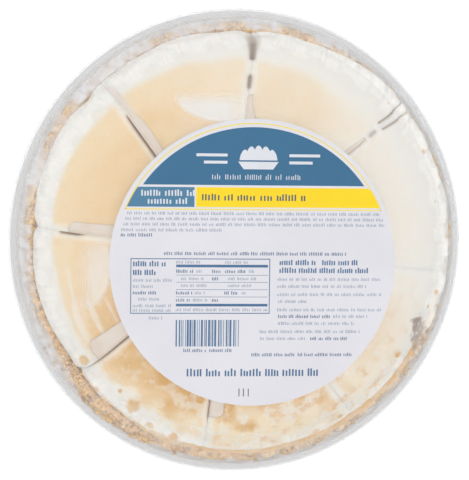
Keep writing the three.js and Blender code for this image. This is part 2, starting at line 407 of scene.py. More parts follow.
def crust_finish():
    """Crumbs browned in the oven: grains of several browns, a few of them dark, and paler patches
    at random that are painted highlight.
    """
    crust = Finish("crumb_crust")
    grains = crust.add("TexVoronoi", inputs={
        "Vector": crust.place, "Scale": 1 / (1.3 * MM)}, output="Color")
    tone = crust.add("SeparateXYZ", inputs={0: grains})
    pale_highlight = crust.noise(14, detail=2)
    lumpy = crust.noise(3.5, detail=2)
    brown = crust.blend(paint(243, 205, 138), paint(206, 155, 90), tone)
    brown = crust.blend(brown, paint(168, 120, 72), lumpy.ramp(0.52, 0.7) * 0.7)
    brown = crust.blend(brown, paint(140, 98, 62), tone.ramp(0.88, 0.95) * 0.6)
    # Painted highlight: paler patches at random over the crumbs.
    brown = crust.blend(brown, paint(246, 220, 164), pale_highlight.ramp(0.55, 0.8) * 0.5)
    relief = crust.bump(crust.noise(0.9, detail=3), 0.5)
    return crust.body(Base_Color=brown, Roughness=0.9, Normal=relief)


def crumbled(points, part):
    """Crumb relief at three sizes on what shows of the lip, fading towards the pan, and a lip
    that wanders in and out. Crumbs have all but closed the cuts there."""
    radius = np.hypot(points[..., 0] / OVAL, points[..., 1])
    shown = smooth(107, 112, radius) * smooth(RIM_Z - 3, RIM_Z + 1, points[..., 2])
    points = part.closed_up(points, CRUMB_CLOSE * shown, 8)
    rise = 0.8 * grain(points, 4.2, 1) + 0.6 * grain(points, 1.9, 2) + 0.35 * grain(points, 0.9, 3)
    push = 0.9 * grain(points, 5.5, 4) + 0.5 * grain(points, 1.7, 5)
    angle = np.degrees(np.arctan2(points[..., 1], points[..., 0])) % 360
    push = push + at_angle(LIP_WANDER, angle)[0]
    outer = smooth(112, 119, radius)
    moved = points.copy()
    moved[..., 2] += rise * shown
    moved[..., :2] *= (1 + push * shown * outer / np.maximum(radius, 1))[..., None]
    return moved


crust_out = np.concatenate([
    [(0, FOIL + 0.6), (60, FOIL + 0.6)],
    spaced(rounded([
        (PAN_BASE_R - 3, FOIL + 1.6), (PAN_MOUTH_R - 1.8, RIM_Z + 0.6), (LIP_R, RIM_Z + 0.9),
        (LIP_R + 0.2, LIP_Z - 0.4), (LIP_R - 1.8, LIP_Z + 0.4), (LIP_R - 3.4, LIP_Z + 0.5),
    ], cut=1.2), 40),
])
crust_in = np.concatenate([
    [(0, CRUST_FLOOR_Z), (60, CRUST_FLOOR_Z)],
    spaced(rounded([
        (CRUST_FLOOR_R, CRUST_FLOOR_Z), (CRUST_MOUTH_R - 1.2, RIM_Z - 2),
        (CRUST_MOUTH_R + 0.6, RIM_Z + 0.8), (LIP_R - 5.5, LIP_Z + 0.3),
        (LIP_R - 3.4, LIP_Z + 0.5),
    ], cut=1.2), 40),
])
crust_material = crust_finish()
for k in range(8):
    part = Slice(k, CRUST_COLUMNS)
    shell = slab(crumbled(part.lofted(crust_in), part), crumbled(part.lofted(crust_out), part))
    crust = solid(f"crust_slice_{k + 1}", shell, crust_material)
    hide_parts(f"crust_{k + 1}")


def boulders(places, sizes, random):
    """Crumbs as grids of points, one each: a coarse ball of 5 by 6 points about its place, with
    every point pushed in or out and the whole stretched at random."""
    turn, tilt = np.linspace(0, TURN, 7), np.linspace(0, math.pi, 5)
    ball = np.stack([
        np.sin(tilt)[:, None] * np.cos(turn), np.sin(tilt)[:, None] * np.sin(turn),
        np.cos(tilt)[:, None] + 0 * turn,
    ], axis=-1)
    lumps = 1 + random.uniform(-0.35, 0.35, (len(places), 5, 7, 1))
    lumps[:, :, -1] = lumps[:, :, 0]
    lumps[:, 0] = lumps[:, 0, :1]
    lumps[:, -1] = lumps[:, -1, :1]
    stretch = random.uniform(0.7, 1.2, (len(places), 1, 1, 3))
    return places[:, None, None] + ball * lumps * stretch * sizes[:, None, None, None]


CRUMBS = 1500
CRUMB_SPOTS = (  # share of crumbs, middle angle, spread, middle radius, spread
    (0.6, 231, 10, 119.2, 2.4),
    (0.12, 284, 24, 119.6, 1.6),
    (0.08, 190, 12, 117.8, 1.6),
    (0.08, 328, 9, 119.4, 2.2),
    (0.06, 130, 14, 118.8, 1.2),
    (0.06, 100, 10, 118.8, 1.2),
)
random = np.random.default_rng(7)
crumb_places = []
for share, middle, spread, radius, wander in CRUMB_SPOTS:
    count = int(CRUMBS * share)
    angle = np.radians(random.normal(middle, spread, count))
    reached = np.clip(random.normal(radius, wander, count), 113, 123.4)
    top = np.where(reached < LIP_R, LIP_Z + 1.1, RIM_Z + 0.5)
    crumb_places.append(np.stack([
        OVAL * reached * np.cos(angle), reached * np.sin(angle), top], axis=-1))
crumb_places = np.concatenate(crumb_places)
crumb_sizes = random.gamma(4, 0.13, len(crumb_places)) + 0.3
crumbs = solid("loose_crumbs", list(boulders(crumb_places, crumb_sizes, random)), crust_material)


# ---------------------------------------------------------------------------- meringue
# Whipped egg white spread level over the pie and scorched under a flame, which left its side
# white. The slices were cut after toasting, and the soft foam closed again along some cuts.

MERINGUE_R = 115.0
MERINGUE_EDGE_Z = RIM_Z + 5.2
MERINGUE_TOP_Z = RIM_Z + 38.0
CROWN_FLAT = 6.0
CROWN_STEEP = 2.3
CROWN_R = 115.6
FOOT_SHARE = 0.16
MERINGUE_COLUMNS = 112
CROWN_ROWS = 96
LUMP = 1.1
SHUT = 0.81
# Round the pie, anticlockwise: how far out the meringue's foot spreads over the crust.
FOOT = np.array([
    (0, 121.5), (46, 121.2), (56, 120), (64, 118.3), (93, 116.6), (112, 117.3), (127, 116.5),
    (132, 117.4), (137.5, 115.0), (143, 116.7), (152, 117), (175, 115.2), (193, 115.3),
    (207, 113.9), (219, 113.7), (224, 115), (240, 115.8), (250, 117.6), (290, 119.2), (318, 120),
    (327, 119.6), (331, 120), (338, 121), (348, 121.4),
])
VALLEY_DEPTH = 3.0
NOTCH = 2.5
# Along each cut: distance from the cuts' centre, how open it is towards its clockwise and its
# anticlockwise slice, from 0 to 1, which sets both how deep its valley sinks and how much painted
# shade lies in it, and how wide that valley's half is. Then how deep the cut notches the meringue's
# edge.
VALLEYS = (
    (((50, 0.4, 0.3, 0.9), (70, 0.5, 0.4, 1.0), (94, 0.5, 0.4, 1.0), (96, 0.1, 0.1, 1),
      (98, 0.6, 0.6, 2), (102, 0.6, 0.6, 2), (104, 0, 0, 1), (130, 0, 0, 0.8)), 0.4),
    (((50, 0, 0.2, 0.9), (84, 0, 0.2, 0.9), (86, 0.8, 0.8, 1.6), (92, 0.8, 0.8, 1.7),
      (95, 0.2, 0.2, 1), (100, 0, 0, 1), (102, 0.95, 0.95, 2.0), (106, 0.85, 0.85, 2.7),
      (112, 0.8, 0.8, 4.2), (117, 0.65, 0.65, 5.8), (120, 0, 0, 5.8)), 0.5),
    (((50, 0.1, 1, 1.8), (80, 0.1, 1, 1.7), (86, 0.1, 0.8, 1.5), (89, 0.1, 0.1, 1.4),
      (112, 0.1, 0.2, 1.4), (122, 0, 0.1, 1)), 0.8),
    (((50, 0.1, 0.3, 0.8), (72, 0.1, 0.4, 0.8), (77, 0.1, 1, 1.5), (85.5, 0.1, 1, 1.6),
      (88, 0.2, 0.3, 2), (110, 0.25, 0.3, 2.6), (122, 0, 0.1, 1)), 1.0),
    (((50, 0.3, 1, 1.2), (66, 0.3, 1, 1.2), (90, 0.3, 0.8, 1.2), (100, 0.4, 0.4, 1.6),
      (112, 0.4, 0.4, 1.6), (118, 0.1, 0.1, 1)), 0.3),
    (((50, 0.8, 0.3, 1.1), (88, 0.8, 0.3, 1.1), (94, 0.3, 0.2, 1), (99, 0.1, 0.15, 1.2),
      (118, 0, 0.1, 0.8)), 0.4),
    (((50, 0, 0, 0.8), (120, 0, 0, 0.8)), 0.2),
    (((50, 0, 0, 0.8), (120, 0, 0, 0.8)), 0.2),
)
# The first cut runs out in two creases, one in each slice beside it, each a shallow groove with a
# line of painted shade along it: how far from the cut each is at CREASE_END from the cuts' centre,
# and how much less that gets with each mm inwards.
CREASES = {7: (5.1, 0.16), 0: (-0.3, -0.105)}
CREASE_END = 128
# Near the edge a pit in the foam is painted as shade over a slight dent, with a shallower one
# before it: angle, radius, half sizes round and outwards, and share. Each leans inwards as it goes
# round, and also as it goes up from PIT_Z.
PITS = ((333.6, 114.2, 11.5, 5.6, 1.0), (326.0, 115.2, 7.0, 3.6, 0.5))
PIT_LEAN = 0.46
PIT_Z = 50
PIT_TILT = 0.25
# Browned islands in its white side: angle, radius and size.
ISLANDS = (
    (215.6, 107.3, 3.0), (224.9, 113.2, 2.2), (235.4, 105.5, 4.2), (243, 110.8, 2.2),
    (229.5, 103.5, 1.4), (250.5, 112, 2.6), (25.8, 116.6, 1.4), (346.4, 117, 1.3),
    (342.7, 120, 1.2), (1.8, 119.6, 1.3), (43, 113.5, 0.9), (12, 112, 0.9), (292.6, 112.6, 2.4),
    (300.8, 110.4, 1.8), (325.7, 106.7, 1.8), (342, 111.8, 1.0),
)
# Round the pie, anticlockwise: how far out the top is toasted, how soft that edge is, how brown
# and how golden it got, how much it is flecked, and how brown the foot got below its white side.
TOASTING = np.array([
    # angle, radius, softness, brown, golden, flecked, foot
    (0, 98, 10, 0.1, 0.05, 0.1, 0),
    (35, 96, 9, 0.14, 0.05, 0.08, 0),
    (52, 95, 7, 0.34, 0.08, 0.06, 0),
    (66, 97, 5, 0.6, 0.12, 0.05, 0),
    (80, 99, 3.5, 0.6, 0.12, 0.05, 0),
    (95, 101, 2.5, 0.6, 0.13, 0.05, 0),
    (115, 102.5, 2, 0.78, 0.2, 0.03, 0),
    (130, 103.5, 2, 1, 0.25, 0.03, 0),
    (165, 104.8, 1.8, 1, 0.25, 0.05, 0),
    (190, 104, 2.2, 0.9, 0.25, 0.15, 0),
    (208, 102.5, 2.5, 0.85, 0.55, 0.25, 0),
    (226, 101.5, 3, 1, 1, 0.4, 0.3),
    (240, 102.5, 4, 1, 1, 0.6, 0.8),
    (262, 110, 7, 1, 1, 0.8, 1),
    (280, 112.5, 8, 0.8, 0.6, 0.95, 1),
    (300, 112, 8, 0.65, 0.46, 0.95, 1),
    (312, 110, 8, 0.55, 0.36, 0.9, 1),
    (325, 108, 9, 0.45, 0.3, 0.6, 1),
    (331, 106, 9, 0.35, 0.2, 0.4, 1),
    (334, 105, 9, 0.3, 0.2, 0.35, 0.2),
    (345, 99, 10, 0.14, 0.06, 0.2, 0),
])


def valley_depths(k, part, distance, points):
    """How deep each point of a slice lies in the valleys of its two cuts, from 0 to 1, which is
    also how much painted shade it gets there: a bell curve across each of them, and a narrow one
    across a crease. With it comes the distance from the nearer cut."""
    first, second = part.from_cuts(points)
    valley = np.zeros_like(distance)
    for cut, away, face in ((k, first, 2), ((k + 1) % 8, second, 1)):
        along = np.array(VALLEYS[cut][0])
        opened, wide = (np.interp(distance, along[:, 0], along[:, i]) for i in (face, 3))
        valley = np.maximum(valley, opened * np.exp(-(away / wide) ** 2))
    if k in CREASES:
        start, lean = CREASES[k]
        away = (second if k == 7 else first) - start + lean * (CREASE_END - distance)
        shown = smooth(105, 106.5, distance)
        shown = shown * (1 - smooth(CREASE_END - 1, CREASE_END + 5, distance))
        valley = np.maximum(valley, 0.75 * np.exp(-(away / 0.75) ** 2) * shown)
    return valley, np.minimum(first, second)


def pit_depths(points):
    """How much painted shade each point gets from a pit, from 0 to 1, which also dents it a little:
    a flat bell curve over a leaning ellipse, its edge and its floor frayed by noise."""
    radius = np.hypot(points[..., 0] / OVAL, points[..., 1])
    bearing = np.arctan2(points[..., 1], points[..., 0] / OVAL)
    pit_dent_and_shade = np.zeros_like(radius)
    for pit_angle, pit_radius, half_round, half_out, share in PITS:
        turned = (bearing - math.radians(pit_angle - 360)) * pit_radius
        out = radius + PIT_TILT * (points[..., 2] - PIT_Z) - pit_radius + PIT_LEAN * turned
        pit = (turned / half_round) ** 2 + (out / half_out) ** 2
        pit = np.exp(-(pit * (1 + 0.5 * grain(points, 3, 15))) ** 2)
        pit_dent_and_shade = np.maximum(pit_dent_and_shade, share * pit * (0.85 + 0.5 * grain(points, 1.7, 16)))
    return pit_dent_and_shade


def crown(k):
    """The top and side of a slice: a superellipse from its tip to the crown's edge, then a foot
    that spreads over the crust. The cuts have all but closed again, its edges fall away into their
    valleys, and it dips a little in the pits. With it come its distance from the cuts and how much
    painted shade it gets from a valley, a crease or a pit."""
    part = Slice(k, MERINGUE_COLUMNS)
    angles = part.angles[None, :]
    notch = 0
    for cut, face in ((k, part.start), ((k + 1) % 8, part.end)):
        aside = 100 * np.sin(np.abs(angles - face))
        notch = notch + VALLEYS[cut][1] * np.exp(-(aside / NOTCH) ** 2)
    near = part.points(reach(part.apex, angles, MERINGUE_R), 0)
    bearing = np.degrees(np.arctan2(near[..., 1], near[..., 0] / OVAL)) % 360
    foot = reach(part.apex, angles, at_angle(FOOT, bearing)[0]) - notch
    edge = np.minimum(foot - 1.2, reach(part.apex, angles, CROWN_R) - notch)
    turn = np.linspace(0, 1, CROWN_ROWS)[:, None] ** 0.8 * math.pi / 2
    drop = np.maximum(np.cos(turn), 0) ** (2 / CROWN_STEEP)
    distance = TIP_GAP + (edge - TIP_GAP) * np.sin(turn) ** (2 / CROWN_FLAT)
    distance = distance + (foot - edge) * (1 - smooth(0, FOOT_SHARE, drop))
    x = part.apex[0] + distance * np.cos(angles)
    y = part.apex[1] + distance * np.sin(angles)
    top = MERINGUE_TOP_Z + 0.7 * LUMP * np.sin(x / 17 + 1) * np.cos(y / 21 - 0.6)
    points = part.points(distance, MERINGUE_EDGE_Z + (top - MERINGUE_EDGE_Z) * drop)
    side = 1 - smooth(0.25, 0.95, drop)
    roll = 0.9 * grain(points, 13, 11) + 0.35 * grain(points, 5, 12) + 0.15 * grain(points, 1.8, 13)
    push = side * (0.6 * roll + 0.4 * grain(points, 7, 14))
    points[..., 0] += push * np.cos(angles)
    points[..., 1] += push * np.sin(angles)
    valley, from_cut = valley_depths(k, part, distance, points)
    # Painted shade of the pits, which also dent the foam a little.
    pit_dent_and_shade = pit_depths(points)
    points[..., 2] += (1 - side) * 0.5 * roll
    sunk = VALLEY_DEPTH * np.maximum(valley, 0.25 * pit_dent_and_shade)
    points[..., 0] -= sunk * side * np.cos(angles)
    points[..., 1] -= sunk * side * np.sin(angles)
    points[..., 2] -= sunk * (1 - 0.6 * side)
    return part.closed_up(points, SHUT, 6), from_cut, np.maximum(valley, pit_dent_and_shade)


def toasted(points, from_cut):
    """How brown, how golden and how flecked each point of a slice's skin is. Brown ends at the
    toasted radius, frayed by noise, and the blade left the cuts' edges pale. On one side the
    flame has swept long pale streaks. Where the foot reaches over the crust it is scorched in a
    frayed band, and islands of the same brown lie in the white side."""
    radius = np.hypot(points[..., 0] / OVAL, points[..., 1])
    angle = np.degrees(np.arctan2(points[..., 1], points[..., 0])) % 360
    reached, soft, brown, golden, flecked, foot = at_angle(TOASTING, angle)
    broad, cloudy, fine = grain(points, 17, 21), grain(points, 6.5, 22), grain(points, 2.6, 23)
    frayed = reached - radius + flecked * (4.5 * cloudy + 2.5 * fine) + 1.5 * broad
    share = smooth(-soft, soft, frayed) * (1 - 0.75 * np.exp(-(from_cut / 3.2) ** 4))
    swirl = np.stack([radius, np.radians(angle) * 11, 0 * radius], axis=-1)
    swept = smooth(183, 192, angle) * (1 - smooth(212, 222, angle))
    share = share * (1 - 0.6 * swept * smooth(0.05, 0.45, grain(swirl, 2.4, 24)))
    speckled = smooth(0.55, 0.9, flecked)
    deeper = smooth(36, 4, radius - 74) * (0.85 + 0.4 * broad) * (1 - 0.15 * speckled)
    deeper = deeper + (0.4 + 0.5 * speckled) * flecked * cloudy
    low = MERINGUE_EDGE_Z + 8 - 12 * smooth(0.5, 0.8, flecked)
    up = smooth(low, low + 12, points[..., 2])
    foot = foot * smooth(112, 115.5, radius + 2 * cloudy + fine)
    for island, out, size in ISLANDS:
        x = points[..., 0] / OVAL - out * math.cos(math.radians(island))
        y = points[..., 1] - out * math.sin(math.radians(island))
        away = np.hypot(x, y) / size * (1 + 0.35 * fine + 0.1 * cloudy)
        foot = np.maximum(foot, 0.7 * (1 - smooth(0.7, 1.15, away)))
    brown, golden = share * brown * up, share * golden * np.clip(deeper, 0, 1) * up
    flecked = flecked * (0.4 + 0.6 * up) * np.exp(-np.maximum(0, radius - reached) / 14)
    flecked = flecked * (1 - 0.8 * foot)
    gilded = 0.85 + 0.2 * smooth(298, 314, angle)
    return np.clip([np.maximum(brown, foot), np.maximum(golden, gilded * foot), flecked], 0, 1)


def meringue_finish():
    """White foam that goes tan and then golden by the toasting of its skin. Where it is flecked it
    breaks up into white and browner patches, as bubbles burst under the flame. Where the attribute
    shaded is high, painted shade darkens it to a grey brown: in the cuts' valleys, along the
    creases and in the pits."""
    foam = Finish("meringue")
    brown, golden, flecked, shaded = (
        foam.add("Attribute", {"attribute_name": name}, output="Fac")
        for name in ("brown", "golden", "flecked", "shaded"))
    blotch = foam.noise(11, detail=3)
    patches = foam.noise(7, detail=5, roughness=0.62)
    scorch = foam.noise(8, detail=4, roughness=0.62)
    colour = foam.blend(paint(245, 241, 234), paint(249, 226, 191), brown * (0.8 + 0.4 * blotch))
    colour = foam.blend(colour, paint(223, 178, 113), golden * (0.6 + 1.25 * blotch))
    white = patches.ramp(0.48, 0.62) * flecked
    colour = foam.blend(colour, paint(244, 239, 229), white * 0.75)
    spots = scorch.ramp(0.5, 0.72) * flecked
    colour = foam.blend(colour, paint(228, 182, 126), spots * 0.7)
    # Painted shade: a grey brown in the cuts' valleys, along the creases and in the pits, where the
    # attribute shaded is high.
    colour = foam.blend(colour, paint(142, 116, 99), shaded.ramp(0.25, 0.9) * 0.8)
    return foam.body(
        Base_Color=colour, Roughness=0.62 + 0.15 * blotch,
        Normal=foam.bump(foam.noise(2.2, detail=3), 0.3),
        Subsurface_Weight=0.35, Subsurface_Radius=(1.0, 0.8, 0.6), Subsurface_Scale=4 * MM)


meringue_seat = spaced(np.array([
    (60, CRUST_FLOOR_Z + 0.4), (CRUST_FLOOR_R - 0.6, CRUST_FLOOR_Z + 0.4),
    (CRUST_MOUTH_R - 1.9, RIM_Z - 2.2), (CRUST_MOUTH_R - 0.8, MERINGUE_EDGE_Z - 0.9),
]), CROWN_ROWS - 1)
meringue_seat = np.concatenate([[(0, CRUST_FLOOR_Z + 0.4)], meringue_seat])
meringue_material = meringue_finish()
for k in range(8):
    skin, from_cut, shade = crown(k)
    seat = Slice(k, MERINGUE_COLUMNS).lofted(meringue_seat)
    shell = slab(skin, seat)
    # The attribute shaded carries the painted shade of the cut valleys, creases and pits.
    tints = dict(zip(("brown", "golden", "flecked"), toasted(skin, from_cut)), shaded=shade)
    meringue = solid(f"meringue_slice_{k + 1}", shell, meringue_material, tints=tints)
    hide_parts(f"meringue_{k + 1}")


# ---------------------------------------------------------------------------- paper dividers
# A strip of off-white paper stands in each cut to keep the slices apart. Most are folded flat
# over one slice by the dome; two have slipped down into their cuts.

PAPER = 0.2
PAPER_START = 20.0
PAPER_FOOT = 1.2
PAPER_RISE = 0.9
PAPER_SUNK = -2.5
PAPER_FOLD_R = 2.6
PAPER_LIFT = math.radians(3)
PAPER_STEPS = 48
PAPER_ROWS = 9
FOLDS = (
    # width at the inner end and at the corner, side it folds to, corner's radius, end's radius,
    # width past the corner, how deep it sinks there, over what length
    (1.6, 2.0, 1, 88, 93, 0.5, 3, 3),
    (6.0, 6.0, -1, 66, 81, 2.2, 0.5, 13),
    (4.2, 4.8, -1, 86, 112, 4.0, 0, 9),
    (7.1, 6.3, -1, 96, 96, 6.3, 0, 1),
    (2.0, 11.4, -1, 100, 100, 11.4, 0, 1),
    (7.0, 7.2, 1, 94.5, 94.5, 7.2, 0, 1),
    (0, 0, 0, 94, 94, 0, 0, 1),
    (0, 0, 0, 94, 94, 0, 0, 1),
)


def crown_height(distance, angle):
    """Height of the meringue's crown at a distance from the cuts' centre."""
    edge = reach(CUT_CENTRE, angle, CROWN_R)
    turn = np.arcsin(np.minimum(distance / edge, 1) ** (CROWN_FLAT / 2))
    return MERINGUE_EDGE_Z + (MERINGUE_TOP_Z - MERINGUE_EDGE_Z) * np.cos(turn) ** (2 / CROWN_STEEP)


def foot_height(distance, angle):
    """Height of a divider's foot at a distance from the cuts' centre: it follows the crust's
    floor and then its wall."""
    x = (CUT_CENTRE[0] + distance * math.cos(angle)) / OVAL
    y = CUT_CENTRE[1] + distance * math.sin(angle)
    past = np.maximum(np.hypot(x, y) - CRUST_FLOOR_R, 0)
    slope = (RIM_Z - CRUST_FLOOR_Z) / (CRUST_MOUTH_R - CRUST_FLOOR_R)
    return CRUST_FLOOR_Z + PAPER_FOOT + past * slope


def paper_finish():
    """Uncoated paper with faint fibres and a little grease from the meringue."""
    paper = Finish("divider_paper")
    fibres = paper.noise(0.8, detail=2)
    stain = paper.noise(9, detail=2)
    colour = paper.blend(paint(232, 220, 208), paint(226, 207, 190), stain.ramp(0.4, 0.75) * 0.7)
    return paper.body(Base_Color=colour, Roughness=0.8, Normal=paper.bump(fibres, 0.12))


def divider_sheet(k):
    """A sheet whose sections are a straight foot, a round bend and a flap that lifts a little,
    carried out along the cut. The flap's edge wavers. A strip without a fold is a straight one
    with a slight belly."""
    inner, outer, side, corner_radius, end_radius, narrow, sunk, length = FOLDS[k]
    angle = CUTS[k]
    corner, end = (reach(CUT_CENTRE, angle, radius) for radius in (corner_radius, end_radius))
    share = np.linspace(0, 1, PAPER_STEPS)
    distance = PAPER_START + (end - PAPER_START) * share
    past = smooth(corner, corner + length, distance)
    crest = crown_height(distance, angle) + (PAPER_RISE if side else PAPER_SUNK) - sunk * past
    foot = np.minimum(foot_height(distance, angle), crest - PAPER_FOLD_R - 1)
    if side:
        width = inner + (outer - inner) * distance / corner + 0.35 * np.sin(9 * share + k)
        width = width + (narrow - width) * past
        width = width * np.sqrt(1 - 0.8 * smooth(end - 0.3 * outer, end + 0.1, distance))
        fold = min(PAPER_FOLD_R, outer / 2)
        flat = math.pi / 2 - PAPER_LIFT
        bend = np.linspace(0, flat, PAPER_ROWS)[1:, None]
        flap = np.linspace(0, 1, PAPER_ROWS)[1:, None]
        bent = fold * (1 - np.cos(bend)) + 0 * share
        width = np.maximum(width - bent[-1], 0.3)
        risen = crest + fold * np.sin(bend) - fold
        across = np.concatenate([
            np.zeros((2, PAPER_STEPS)), bent, bent[-1] + flap * width * math.sin(flat)])
        up = np.concatenate([
            [foot, crest - fold], risen,
            risen[-1] + flap * width * math.cos(flat) - 0.4 * flap ** 2])
        across = across * side
    else:
        across = 0.1 * np.sin(np.linspace(0, 3, PAPER_ROWS))[:, None] + 0 * share
        up = np.linspace(foot, crest, PAPER_ROWS)
    along = distance + 0 * across
    ahead_x, ahead_y = np.gradient(across, axis=0), np.gradient(up, axis=0)
    step = np.hypot(ahead_x, ahead_y)
    skins = []
    for half in (PAPER / 2, -PAPER / 2):
        a, z = across - ahead_y / step * half, up + ahead_x / step * half
        skins.append(np.stack([
            CUT_CENTRE[0] + along * math.cos(angle) - a * math.sin(angle),
            CUT_CENTRE[1] + along * math.sin(angle) + a * math.cos(angle), z], axis=-1))
    return skins


paper_material = paper_finish()
for k in range(8):
    divider = solid(f"divider_sheet_{k + 1}", slab(*divider_sheet(k)), paper_material)
    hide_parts(f"divider_{k + 1}")


# ---------------------------------------------------------------------------- clear dome
# A stiff clear cover, formed hot over a mould: thirty-six flutes stiffen its wall, a low ridge
# round the top panel lets packs stack, and its skirt hugs the pan's rolled edge. The dome and
# what lies on it throw no shadow, which stands in for light that comes from all sides.

DOME_R = 128.9
SKIRT_DROP = 6.4
DOME_WALL_R = 124.4
DOME_CREST_R = 98.8
DOME_TOP_Z = 74.8
SHEET = 0.6
FLUTES = 36
FLUTE_DEPTH = 1.5
FLUTE_PHASE = math.radians(45)
GRAZING_MIRROR = 0.27
# Patches of painted reflection under the panel, laid on as white frost: middle, half sizes, the
# stretch of X and the stretch of Y over which the patch fades away, and its share.
REFLECTION_POOLS = (
    ((-11.7, 80.3), (28.1, 15.0), (-12, 6), (74, 84), 0.8),
    ((-85.7, -9.5), (15.3, 25.3), (-78, -92), (-4, 8), 0.55),
)


def clear_finish(name, mirror, roughness, wide, depth, scuffed, whitened, hazed, reflection_pools=()):
    """Clear sheet: light goes straight through, except for the share that it mirrors, which grows
    towards a grazing view by the fifth power, where the sheet also darkens. Its wall has fine
    creases that run outwards, about so wide in millimetres, with pale scuffs along them, and bends
    of the flutes that the forming has whitened. The flat top has none of these. The rim is hazed
    all round, an attribute says where the sheet has gone cloudy and where a painted highlight runs
    along the ridge, and patches of painted reflection lie on the top as white frost."""
    clear = Finish(name)
    level = clear.vector(clear.x, clear.y)
    spoke = clear.add("VectorMath", {"operation": "NORMALIZE"}, {0: level})
    spoke = clear.add("VectorMath", {"operation": "SCALE"}, {0: spoke, "Scale": DOME_WALL_R * MM})
    rise = clear.vector(0, 0, clear.z * 0.12)
    spoke = clear.add("VectorMath", {"operation": "ADD"}, {0: spoke, 1: rise})
    creases = clear.add("TexNoise", inputs={
        "Vector": spoke, "Scale": 1 / (wide * MM), "Detail": 3.0, "Roughness": 0.6})
    wall = ((DOME_TOP_Z - 0.3) * MM - clear.z).ramp(0.0, 8 * MM)
    raised = clear.z.ramp((RIM_Z + 2.5) * MM, (RIM_Z + 9) * MM) * wall
    relief = clear.bump(creases * raised, depth)

    grazing = clear.add("LayerWeight", inputs={"Blend": 0.5, "Normal": relief}, output="Facing")
    through = clear.add("BsdfTransparent", inputs={"Color": (0.985, 0.988, 0.99, 1.0)})
    dark = clear.add("BsdfTransparent", inputs={"Color": (0.77, 0.77, 0.775, 1.0)})
    shine = clear.add("BsdfGlossy", inputs={
        "Color": (1.0, 1.0, 1.0, 1.0), "Roughness": roughness, "Normal": relief})
    share = mirror + (GRAZING_MIRROR - mirror) * grazing ** 5.0
    sheet = clear.mix(clear.mix(through, dark, grazing ** 12.0), shine, share)

    scuffs = clear.noise(16, detail=2).ramp(0.35, 0.7) * creases.ramp(0.5, 0.72) * scuffed
    turn = clear.add("Math", {"operation": "ARCTAN2"}, {0: clear.y * OVAL, 1: clear.x})
    wave = clear.add("Math", {"operation": "COSINE"}, {0: turn * FLUTES + FLUTE_PHASE})
    bend = 1.0 - clear.add("Math", {"operation": "ABSOLUTE"}, {0: wave}).ramp(0.0, 0.8)
    bends = bend * clear.noise(26, detail=2).ramp(0.3, 0.7) * whitened
    pale = (scuffs + bends) * raised
    top = clear.z.ramp((DOME_TOP_Z - 0.2) * MM, (DOME_TOP_Z - 0.1) * MM)
    # Painted reflections: white patches on the top that stand for light mirrored in it, drawn as
    # frost.
    for (mid_x, mid_y), (half_x, half_y), fade_x, fade_y, strength in reflection_pools:
        u = (clear.x - mid_x * MM) * (1 / (half_x * MM))
        v = (clear.y - mid_y * MM) * (1 / (half_y * MM))
        inside = 1.0 - clear.length(clear.vector(u, v)).ramp(0.84, 1.02)
        left = 1.0 - clear.x.ramp(fade_x[0] * MM, fade_x[1] * MM)
        below = 1.0 - clear.y.ramp(fade_y[0] * MM, fade_y[1] * MM)
        pale = pale + inside * left * below * top * strength
    white = clear.add("BsdfDiffuse", inputs={"Color": (0.795, 0.8, 0.795, 1.0)})
    sheet = clear.mix(sheet, white, pale)

    out = clear.length(level)
    rings = clear.add("TexNoise", {"noise_dimensions": "1D"}, {"W": out, "Scale": 1 / (1.1 * MM)})
    rim = ((RIM_Z + 3) * MM - clear.z).ramp(0.0, 1.8 * MM)
    # This attribute also carries the painted highlight along the film's ridge.
    cloudy = clear.add("Attribute", {"attribute_name": "veiled_and_highlighted"}, output="Fac")
    haze = rim * (0.6 + 0.8 * rings) * hazed + cloudy
    grey = clear.add("BsdfDiffuse", inputs={"Color": (0.77, 0.78, 0.805, 1.0)})
    return clear.show(clear.mix(sheet, grey, haze))


def fluted(radius, height, angle):
    """Grooves as wide as the panels between them, fading at the wall's foot and shoulder."""
    wall = smooth(RIM_Z + 1.5, RIM_Z + 9, height)
    wall = wall * (1 - smooth(DOME_TOP_Z - 6, DOME_TOP_Z - 0.5, height))
    groove = 1 - smooth(-0.5, 0.5, np.cos(FLUTES * angle + FLUTE_PHASE))
    return radius - FLUTE_DEPTH * wall * groove, height


dome_line = rounded([
    (DOME_R, RIM_Z - SKIRT_DROP), (DOME_R - 0.2, RIM_Z + 1), (DOME_WALL_R, RIM_Z + 1),
    (DOME_WALL_R - 3.2, RIM_Z + 10.5), (DOME_WALL_R - 9, RIM_Z + 26),
    (DOME_WALL_R - 13, RIM_Z + 34.5), (DOME_WALL_R - 18.6, RIM_Z + 40.6),
    (DOME_CREST_R, DOME_TOP_Z + 0.6), (DOME_CREST_R - 2.4, DOME_TOP_Z), (0, DOME_TOP_Z),
], cut=3.0, steps=4)
dome_wall = spaced(dome_line[:-1], 84)
dome_panel = np.linspace(dome_line[-2], dome_line[-1], 9)[1:]
dome_line = np.concatenate([dome_wall, dome_panel]) - [0, SHEET / 2]
dome_outer, dome_inner = both_sides(dome_line, SHEET)
dome_outer[-1, 0] = dome_inner[-1, 0] = 0
dome_shell = np.concatenate([dome_outer[::-1], dome_inner])
dome_finish = clear_finish("clear_plastic", mirror=0.03, roughness=0.06, wide=2.6, depth=0.7,
                           scuffed=0.1, whitened=0.1, hazed=0.3, reflection_pools=REFLECTION_POOLS)
dome = solid("dome_cover", [spun(dome_shell, np.linspace(0, TURN, FLUTES * 14 + 1), fluted)],
             dome_finish)
dome.visible_shadow = False
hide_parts("dome")


# ---------------------------------------------------------------------------- label
# A round paper label stuck a little off centre on the dome's panel. It is printed with a blue
# cap, a blue and yellow band and rows of small print, all of it plain shapes here.

